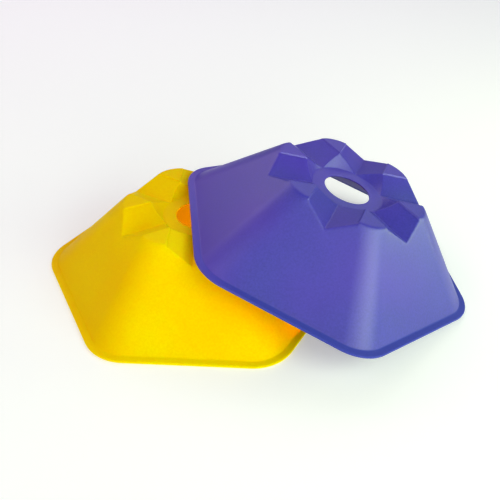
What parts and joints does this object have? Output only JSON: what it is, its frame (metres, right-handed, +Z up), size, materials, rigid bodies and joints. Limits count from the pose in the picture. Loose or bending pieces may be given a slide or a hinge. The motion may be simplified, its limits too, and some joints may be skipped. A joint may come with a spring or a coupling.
{
  "type": "sports marker cone",
  "caption": "Low hexagonal marker cones for a playing field, with a pole hole and crossed bar grooves in a lobed crown; a blue cone leans on a yellow cone that stands flat.",
  "frame": {"origin": "middle of the pair's bounding box, on the ground", "axes": "+Z up along the standing cone's axis, +X from the standing cone towards the foot of the leaning cone, +Y away from the viewer"},
  "size_m": [0.288, 0.2086, 0.0899],
  "materials": {
    "yellow_plastic": "satin moulded polyethylene with a faint grain",
    "blue_plastic": "satin moulded polyethylene with a faint grain"
  },
  "bodies": {
    "yellow": {"yellow_cone": "yellow_plastic"},
    "blue": {"blue_cone": "blue_plastic"}
  },
  "joints": [
    {"name": "blue_cone_lift", "type": "slide", "parent": "yellow", "child": "blue", "axis": [0, 0, 1], "range_m": [0, 0.12]}
  ]
}
